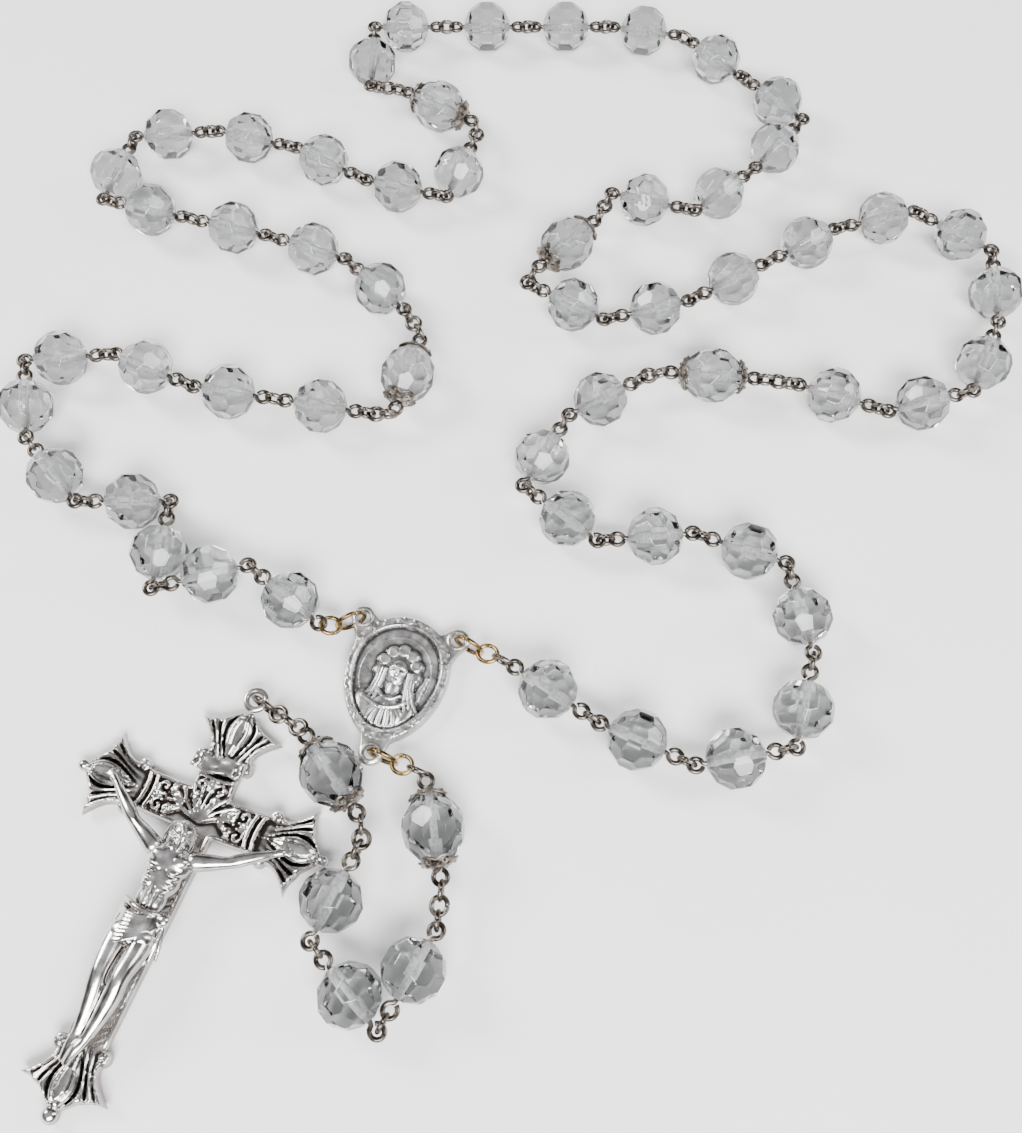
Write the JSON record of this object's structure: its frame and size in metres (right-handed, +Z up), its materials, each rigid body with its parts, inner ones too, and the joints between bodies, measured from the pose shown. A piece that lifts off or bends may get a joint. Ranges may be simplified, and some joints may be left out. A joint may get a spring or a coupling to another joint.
{
  "type": "rosary",
  "caption": "Five-decade rosary laid flat: faceted clear glass beads on linked wire eye pins, a centre medal with three lugs, and a crucifix with a high-relief figure.",
  "frame": {"origin": "middle of the laid-out rosary's box, on the table it lies on", "axes": "+Z up from the table, +Y along the longer side of the layout away from the crucifix, +X to the right"},
  "size_m": [0.151, 0.1728, 0.008],
  "materials": {
    "clear_glass": "clear fire-polished facets on tarnished silver wire",
    "satin_silver": "satin antique silver plate",
    "bright_silver": "bright antique silver plate",
    "tarnished_silver": "dark tarnished silver wire"
  },
  "bodies": {
    "centre_medal": {"centre_medal": "satin_silver"},
    "decade1_bead1": {"decade1_bead1": "clear_glass"},
    "decade1_bead2": {"decade1_bead2": "clear_glass"},
    "decade1_bead3": {"decade1_bead3": "clear_glass"},
    "decade1_bead4": {"decade1_bead4": "clear_glass"},
    "decade1_bead5": {"decade1_bead5": "clear_glass"},
    "decade1_bead6": {"decade1_bead6": "clear_glass"},
    "decade1_bead7": {"decade1_bead7": "clear_glass"},
    "decade1_bead8": {"decade1_bead8": "clear_glass"},
    "decade1_beads9_10": {"decade1_beads9_10": "clear_glass"},
    "our_father_1": {"our_father_1": "clear_glass"},
    "decade2_bead1": {"decade2_bead1": "clear_glass"},
    "decade2_bead2": {"decade2_bead2": "clear_glass"},
    "decade2_beads3_4": {"decade2_beads3_4": "clear_glass"},
    "decade2_bead5": {"decade2_bead5": "clear_glass"},
    "decade2_bead6": {"decade2_bead6": "clear_glass"},
    "decade2_bead7": {"decade2_bead7": "clear_glass"},
    "decade2_bead8": {"decade2_bead8": "clear_glass"},
    "decade2_bead9": {"decade2_bead9": "clear_glass"},
    "decade2_bead10": {"decade2_bead10": "clear_glass"},
    "our_father_2": {"our_father_2": "clear_glass"},
    "decade3_bead1": {"decade3_bead1": "clear_glass"},
    "decade3_beads2_3": {"decade3_beads2_3": "clear_glass"},
    "decade3_bead4": {"decade3_bead4": "clear_glass"},
    "decade3_bead5": {"decade3_bead5": "clear_glass"},
    "decade5_bead10": {"decade5_bead10": "clear_glass"},
    "decade5_bead9": {"decade5_bead9": "clear_glass"},
    "decade5_bead8": {"decade5_bead8": "clear_glass"},
    "decade5_bead7": {"decade5_bead7": "clear_glass"},
    "decade5_bead6": {"decade5_bead6": "clear_glass"},
    "decade5_bead5": {"decade5_bead5": "clear_glass"},
    "decade5_bead4": {"decade5_bead4": "clear_glass"},
    "decade5_bead3": {"decade5_bead3": "clear_glass"},
    "decade5_bead2": {"decade5_bead2": "clear_glass"},
    "decade5_bead1": {"decade5_bead1": "clear_glass"},
    "our_father_4": {"our_father_4": "clear_glass"},
    "decade4_bead10": {"decade4_bead10": "clear_glass"},
    "decade4_bead9": {"decade4_bead9": "clear_glass"},
    "decade4_bead8": {"decade4_bead8": "clear_glass"},
    "decade4_bead7": {"decade4_bead7": "clear_glass"},
    "decade4_bead6": {"decade4_bead6": "clear_glass"},
    "decade4_bead5": {"decade4_bead5": "clear_glass"},
    "decade4_beads3_4": {"decade4_beads3_4": "clear_glass"},
    "decade4_bead2": {"decade4_bead2": "clear_glass"},
    "decade4_bead1": {"decade4_bead1": "clear_glass"},
    "our_father_3": {"our_father_3": "clear_glass"},
    "decade3_bead10": {"decade3_bead10": "clear_glass"},
    "decade3_bead9": {"decade3_bead9": "clear_glass"},
    "decade3_bead8": {"decade3_bead8": "clear_glass"},
    "decade3_bead7": {"decade3_bead7": "clear_glass"},
    "decade3_bead6": {"decade3_bead6": "clear_glass"},
    "our_father_upper": {"our_father_upper": "clear_glass"},
    "pendant_bead1": {"pendant_bead1": "clear_glass"},
    "pendant_bead2": {"pendant_bead2": "clear_glass"},
    "pendant_bead3": {"pendant_bead3": "clear_glass"},
    "our_father_lower": {"our_father_lower": "clear_glass"},
    "crucifix_ring": {"crucifix_ring": "tarnished_silver"},
    "crucifix": {"crucifix_cross": "bright_silver", "crucifix_corpus": "bright_silver", "crucifix_title_scroll": "bright_silver"}
  },
  "joints": [
    {"name": "decade1_bead1_hinge", "type": "hinge", "parent": "centre_medal", "child": "decade1_bead1", "pos_m": [-0.02305, -0.02487, 0.0025], "axis": [0.4226, -0.9063, 0], "range_deg": [-45, 45]},
    {"name": "decade1_bead2_hinge", "type": "hinge", "parent": "decade1_bead1", "child": "decade1_bead2", "pos_m": [-0.03637, -0.01808, 0.004], "axis": [0.6428, 0.766, 0], "range_deg": [-45, 45]},
    {"name": "decade1_bead3_hinge", "type": "hinge", "parent": "decade1_bead2", "child": "decade1_bead3", "pos_m": [-0.04895, -0.02051, 0.004], "axis": [0.2588, -0.9659, 0], "range_deg": [-45, 45]},
    {"name": "decade1_bead4_hinge", "type": "hinge", "parent": "decade1_bead3", "child": "decade1_bead4", "pos_m": [-0.04895, -0.0087, 0.004], "axis": [0.9962, -0.0872, 0], "range_deg": [-45, 45]},
    {"name": "decade1_bead5_hinge", "type": "hinge", "parent": "decade1_bead4", "child": "decade1_bead5", "pos_m": [-0.06101, -0.0076, 0.004], "axis": [0, -1, 0], "range_deg": [-45, 45]},
    {"name": "decade1_bead6_hinge", "type": "hinge", "parent": "decade1_bead5", "child": "decade1_bead6", "pos_m": [-0.06992, 0.00171, 0.004], "axis": [0.766, 0.6428, 0], "range_deg": [-45, 45]},
    {"name": "decade1_bead7_hinge", "type": "hinge", "parent": "decade1_bead6", "child": "decade1_bead7", "pos_m": [-0.07273, 0.01452, 0.004], "axis": [-0.9848, -0.1736, 0], "range_deg": [-45, 45]},
    {"name": "decade1_bead8_hinge", "type": "hinge", "parent": "decade1_bead7", "child": "decade1_bead8", "pos_m": [-0.06082, 0.01666, 0.004], "axis": [0.0872, -0.9962, 0], "range_deg": [-45, 45]},
    {"name": "decade1_beads9_10_hinge", "type": "hinge", "parent": "decade1_bead8", "child": "decade1_beads9_10", "pos_m": [-0.04871, 0.01162, 0.004], "axis": [0.4226, 0.9063, 0], "range_deg": [-45, 45]},
    {"name": "our_father_1_hinge", "type": "hinge", "parent": "decade1_beads9_10", "child": "our_father_1", "pos_m": [-0.02226, 0.00667, 0.004], "axis": [-0.1736, -0.9848, 0], "range_deg": [-45, 45]},
    {"name": "decade2_bead1_hinge", "type": "hinge", "parent": "our_father_1", "child": "decade2_bead1", "pos_m": [-0.01695, 0.02372, 0.004], "axis": [-0.866, -0.5, 0], "range_deg": [-45, 45]},
    {"name": "decade2_bead2_hinge", "type": "hinge", "parent": "decade2_bead1", "child": "decade2_bead2", "pos_m": [-0.02609, 0.03327, 0.004], "axis": [0.7071, 0.7071, 0], "range_deg": [-45, 45]},
    {"name": "decade2_beads3_4_hinge", "type": "hinge", "parent": "decade2_bead2", "child": "decade2_beads3_4", "pos_m": [-0.03829, 0.0382, 0.004], "axis": [-0.342, -0.9397, 0], "range_deg": [-45, 45]},
    {"name": "decade2_bead5_hinge", "type": "hinge", "parent": "decade2_beads3_4", "child": "decade2_bead5", "pos_m": [-0.06429, 0.04527, 0.004], "axis": [0.2588, 0.9659, 0], "range_deg": [-45, 45]},
    {"name": "decade2_bead6_hinge", "type": "hinge", "parent": "decade2_bead5", "child": "decade2_bead6", "pos_m": [-0.06221, 0.05729, 0.004], "axis": [-0.9659, 0.2588, 0], "range_deg": [-45, 45]},
    {"name": "decade2_bead7_hinge", "type": "hinge", "parent": "decade2_bead6", "child": "decade2_bead7", "pos_m": [-0.04982, 0.05941, 0.004], "axis": [0.0872, -0.9962, 0], "range_deg": [-45, 45]},
    {"name": "decade2_bead8_hinge", "type": "hinge", "parent": "decade2_bead7", "child": "decade2_bead8", "pos_m": [-0.03699, 0.05636, 0.004], "axis": [0.2588, 0.9659, 0], "range_deg": [-45, 45]},
    {"name": "decade2_bead9_hinge", "type": "hinge", "parent": "decade2_bead8", "child": "decade2_bead9", "pos_m": [-0.02541, 0.05, 0.004], "axis": [-0.5, -0.866, 0], "range_deg": [-45, 45]},
    {"name": "decade2_bead10_hinge", "type": "hinge", "parent": "decade2_bead9", "child": "decade2_bead10", "pos_m": [-0.01272, 0.0463, 0.004], "axis": [0.2588, 0.9659, 0], "range_deg": [-45, 45]},
    {"name": "our_father_2_hinge", "type": "hinge", "parent": "decade2_bead10", "child": "our_father_2", "pos_m": [-0.0075, 0.05744, 0.004], "axis": [0.9397, -0.342, 0], "range_deg": [-45, 45]},
    {"name": "decade3_bead1_hinge", "type": "hinge", "parent": "our_father_2", "child": "decade3_bead1", "pos_m": [-0.02348, 0.06897, 0.004], "axis": [-0.1736, -0.9848, 0], "range_deg": [-45, 45]},
    {"name": "decade3_beads2_3_hinge", "type": "hinge", "parent": "decade3_bead1", "child": "decade3_beads2_3", "pos_m": [-0.02456, 0.08131, 0.004], "axis": [1, 0, 0], "range_deg": [-45, 45]},
    {"name": "decade3_bead4_hinge", "type": "hinge", "parent": "decade3_beads2_3", "child": "decade3_bead4", "pos_m": [0.00129, 0.08241, 0.004], "axis": [0, 1, 0], "range_deg": [-45, 45]},
    {"name": "decade3_bead5_hinge", "type": "hinge", "parent": "decade3_bead4", "child": "decade3_bead5", "pos_m": [0.01454, 0.08241, 0.004], "axis": [0, -1, 0], "range_deg": [-45, 45]},
    {"name": "decade5_bead10_hinge", "type": "hinge", "parent": "centre_medal", "child": "decade5_bead10", "pos_m": [-0.00716, -0.02842, 0.0025], "axis": [0.5, 0.866, 0], "range_deg": [-45, 45]},
    {"name": "decade5_bead9_hinge", "type": "hinge", "parent": "decade5_bead10", "child": "decade5_bead9", "pos_m": [0.00888, -0.03899, 0.004], "axis": [-0.5736, -0.8192, 0], "range_deg": [-45, 45]},
    {"name": "decade5_bead8_hinge", "type": "hinge", "parent": "decade5_bead9", "child": "decade5_bead8", "pos_m": [0.02079, -0.04475, 0.004], "axis": [0.4226, 0.9063, 0], "range_deg": [-45, 45]},
    {"name": "decade5_bead7_hinge", "type": "hinge", "parent": "decade5_bead8", "child": "decade5_bead7", "pos_m": [0.03376, -0.04311, 0.004], "axis": [0.1736, -0.9848, 0], "range_deg": [-45, 45]},
    {"name": "decade5_bead6_hinge", "type": "hinge", "parent": "decade5_bead7", "child": "decade5_bead6", "pos_m": [0.03798, -0.03118, 0.004], "axis": [-0.9659, 0.2588, 0], "range_deg": [-45, 45]},
    {"name": "decade5_bead5_hinge", "type": "hinge", "parent": "decade5_bead6", "child": "decade5_bead5", "pos_m": [0.03616, -0.01815, 0.004], "axis": [0.9848, 0.1736, 0], "range_deg": [-45, 45]},
    {"name": "decade5_bead4_hinge", "type": "hinge", "parent": "decade5_bead5", "child": "decade5_bead4", "pos_m": [0.02455, -0.01291, 0.004], "axis": [-0.342, -0.9397, 0], "range_deg": [-45, 45]},
    {"name": "decade5_bead3_hinge", "type": "hinge", "parent": "decade5_bead4", "child": "decade5_bead3", "pos_m": [0.01141, -0.0136, 0.004], "axis": [-0.0872, 0.9962, 0], "range_deg": [-45, 45]},
    {"name": "decade5_bead2_hinge", "type": "hinge", "parent": "decade5_bead3", "child": "decade5_bead2", "pos_m": [0.00101, -0.00588, 0.004], "axis": [-0.6428, -0.766, 0], "range_deg": [-45, 45]},
    {"name": "decade5_bead1_hinge", "type": "hinge", "parent": "decade5_bead2", "child": "decade5_bead1", "pos_m": [0.00624, 0.00535, 0.004], "axis": [0.866, -0.5, 0], "range_deg": [-45, 45]},
    {"name": "our_father_4_hinge", "type": "hinge", "parent": "decade5_bead1", "child": "our_father_4", "pos_m": [0.01731, 0.01237, 0.004], "axis": [-0.5, 0.866, 0], "range_deg": [-45, 45]},
    {"name": "decade4_bead10_hinge", "type": "hinge", "parent": "our_father_4", "child": "decade4_bead10", "pos_m": [0.03911, 0.01167, 0.004], "axis": [-0.1736, -0.9848, 0], "range_deg": [-45, 45]},
    {"name": "decade4_bead9_hinge", "type": "hinge", "parent": "decade4_bead10", "child": "decade4_bead9", "pos_m": [0.05161, 0.00732, 0.004], "axis": [0.342, 0.9397, 0], "range_deg": [-45, 45]},
    {"name": "decade4_bead8_hinge", "type": "hinge", "parent": "decade4_bead9", "child": "decade4_bead8", "pos_m": [0.06438, 0.01009, 0.004], "axis": [0.2588, -0.9659, 0], "range_deg": [-45, 45]},
    {"name": "decade4_bead7_hinge", "type": "hinge", "parent": "decade4_bead8", "child": "decade4_bead7", "pos_m": [0.07057, 0.02139, 0.004], "axis": [-0.9063, 0.4226, 0], "range_deg": [-45, 45]},
    {"name": "decade4_bead6_hinge", "type": "hinge", "parent": "decade4_bead7", "child": "decade4_bead6", "pos_m": [0.0721, 0.03449, 0.004], "axis": [0.9962, -0.0872, 0], "range_deg": [-45, 45]},
    {"name": "decade4_bead5_hinge", "type": "hinge", "parent": "decade4_bead6", "child": "decade4_bead5", "pos_m": [0.06224, 0.04255, 0.004], "axis": [-0.5736, -0.8192, 0], "range_deg": [-45, 45]},
    {"name": "decade4_beads3_4_hinge", "type": "hinge", "parent": "decade4_bead5", "child": "decade4_beads3_4", "pos_m": [0.0496, 0.04004, 0.004], "axis": [-0.2588, 0.9659, 0], "range_deg": [-45, 45]},
    {"name": "decade4_bead2_hinge", "type": "hinge", "parent": "decade4_beads3_4", "child": "decade4_bead2", "pos_m": [0.02615, 0.02683, 0.004], "axis": [0.5, -0.866, 0], "range_deg": [-45, 45]},
    {"name": "decade4_bead1_hinge", "type": "hinge", "parent": "decade4_bead2", "child": "decade4_bead1", "pos_m": [0.01346, 0.02313, 0.004], "axis": [-0.2588, 0.9659, 0], "range_deg": [-45, 45]},
    {"name": "our_father_3_hinge", "type": "hinge", "parent": "decade4_bead1", "child": "our_father_3", "pos_m": [0.00188, 0.02892, 0.004], "axis": [-0.5, -0.866, 0], "range_deg": [-45, 45]},
    {"name": "decade3_bead10_hinge", "type": "hinge", "parent": "our_father_3", "child": "decade3_bead10", "pos_m": [0.01381, 0.04576, 0.004], "axis": [0.9063, -0.4226, 0], "range_deg": [-45, 45]},
    {"name": "decade3_bead9_hinge", "type": "hinge", "parent": "decade3_bead10", "child": "decade3_bead9", "pos_m": [0.02601, 0.04362, 0.004], "axis": [0.2588, 0.9659, 0], "range_deg": [-45, 45]},
    {"name": "decade3_bead8_hinge", "type": "hinge", "parent": "decade3_bead9", "child": "decade3_bead8", "pos_m": [0.03638, 0.05114, 0.004], "axis": [0.6428, -0.766, 0], "range_deg": [-45, 45]},
    {"name": "decade3_bead7_hinge", "type": "hinge", "parent": "decade3_bead8", "child": "decade3_bead7", "pos_m": [0.04503, 0.06116, 0.004], "axis": [-0.766, 0.6428, 0], "range_deg": [-45, 45]},
    {"name": "decade3_bead6_hinge", "type": "hinge", "parent": "decade3_bead7", "child": "decade3_bead6", "pos_m": [0.03715, 0.07059, 0.004], "axis": [0.7071, 0.7071, 0], "range_deg": [-45, 45]},
    {"name": "our_father_upper_hinge", "type": "hinge", "parent": "centre_medal", "child": "our_father_upper", "pos_m": [-0.01804, -0.04367, 0.0025], "axis": [0.4226, 0.9063, 0], "range_deg": [-45, 45]},
    {"name": "pendant_bead1_hinge", "type": "hinge", "parent": "our_father_upper", "child": "pendant_bead1", "pos_m": [-0.01035, -0.06437, 0.004], "axis": [-0.9962, 0.0872, 0], "range_deg": [-45, 45]},
    {"name": "pendant_bead2_hinge", "type": "hinge", "parent": "pendant_bead1", "child": "pendant_bead2", "pos_m": [-0.01652, -0.07599, 0.004], "axis": [0.866, -0.5, 0], "range_deg": [-45, 45]},
    {"name": "pendant_bead3_hinge", "type": "hinge", "parent": "pendant_bead2", "child": "pendant_bead3", "pos_m": [-0.02488, -0.06763, 0.004], "axis": [0.766, 0.6428, 0], "range_deg": [-45, 45]},
    {"name": "our_father_lower_hinge", "type": "hinge", "parent": "pendant_bead3", "child": "our_father_lower", "pos_m": [-0.02045, -0.05578, 0.004], "axis": [-0.9063, 0.4226, 0], "range_deg": [-45, 45]},
    {"name": "crucifix_ring_hinge", "type": "hinge", "parent": "our_father_lower", "child": "crucifix_ring", "pos_m": [-0.03348, -0.03692, 0.0025], "axis": [0.5736, 0.8192, 0], "range_deg": [-45, 45]},
    {"name": "crucifix_hinge", "type": "hinge", "parent": "crucifix_ring", "child": "crucifix", "pos_m": [-0.03495, -0.03589, 0.0019], "axis": [0.3665, 0.9304, 0], "range_deg": [-45, 15]}
  ]
}
